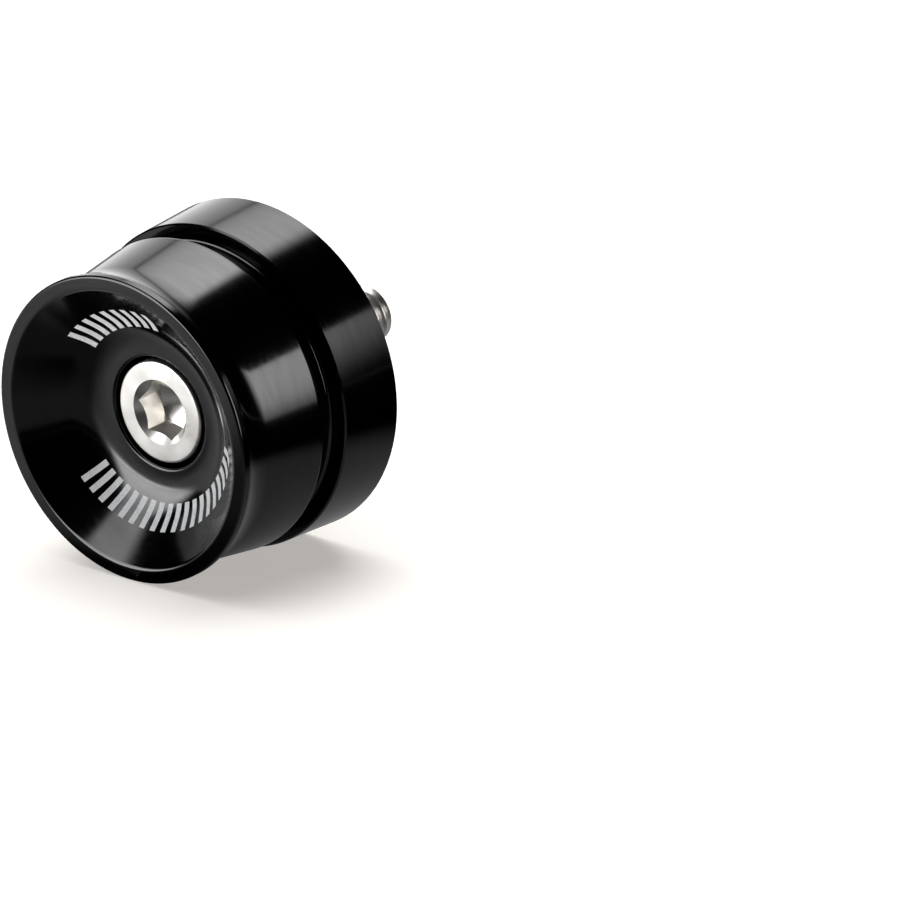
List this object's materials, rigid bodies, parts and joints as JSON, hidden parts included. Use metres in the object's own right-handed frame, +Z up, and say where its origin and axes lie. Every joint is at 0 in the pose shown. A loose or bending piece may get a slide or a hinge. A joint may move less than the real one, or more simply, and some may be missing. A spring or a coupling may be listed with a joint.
{
  "type": "bar end weight",
  "caption": "Turned handlebar end weight with a flared rim, a dished face and a groove, held by a central socket cap screw.",
  "frame": {"origin": "centre of the rear seat face, on the screw's axis, where the thread leaves the body and the end of the handlebar meets it", "axes": "+Y along the screw into the handlebar, so the dished front face looks along -Y; +Z up"},
  "size_m": [0.0326, 0.0364, 0.0326],
  "materials": {
    "anodised_aluminium": "gloss black anodised over fine turning marks",
    "stainless_steel": "satin"
  },
  "bodies": {
    "root": {"weight_body": "anodised_aluminium", "cap_screw": "stainless_steel"}
  },
  "joints": []
}
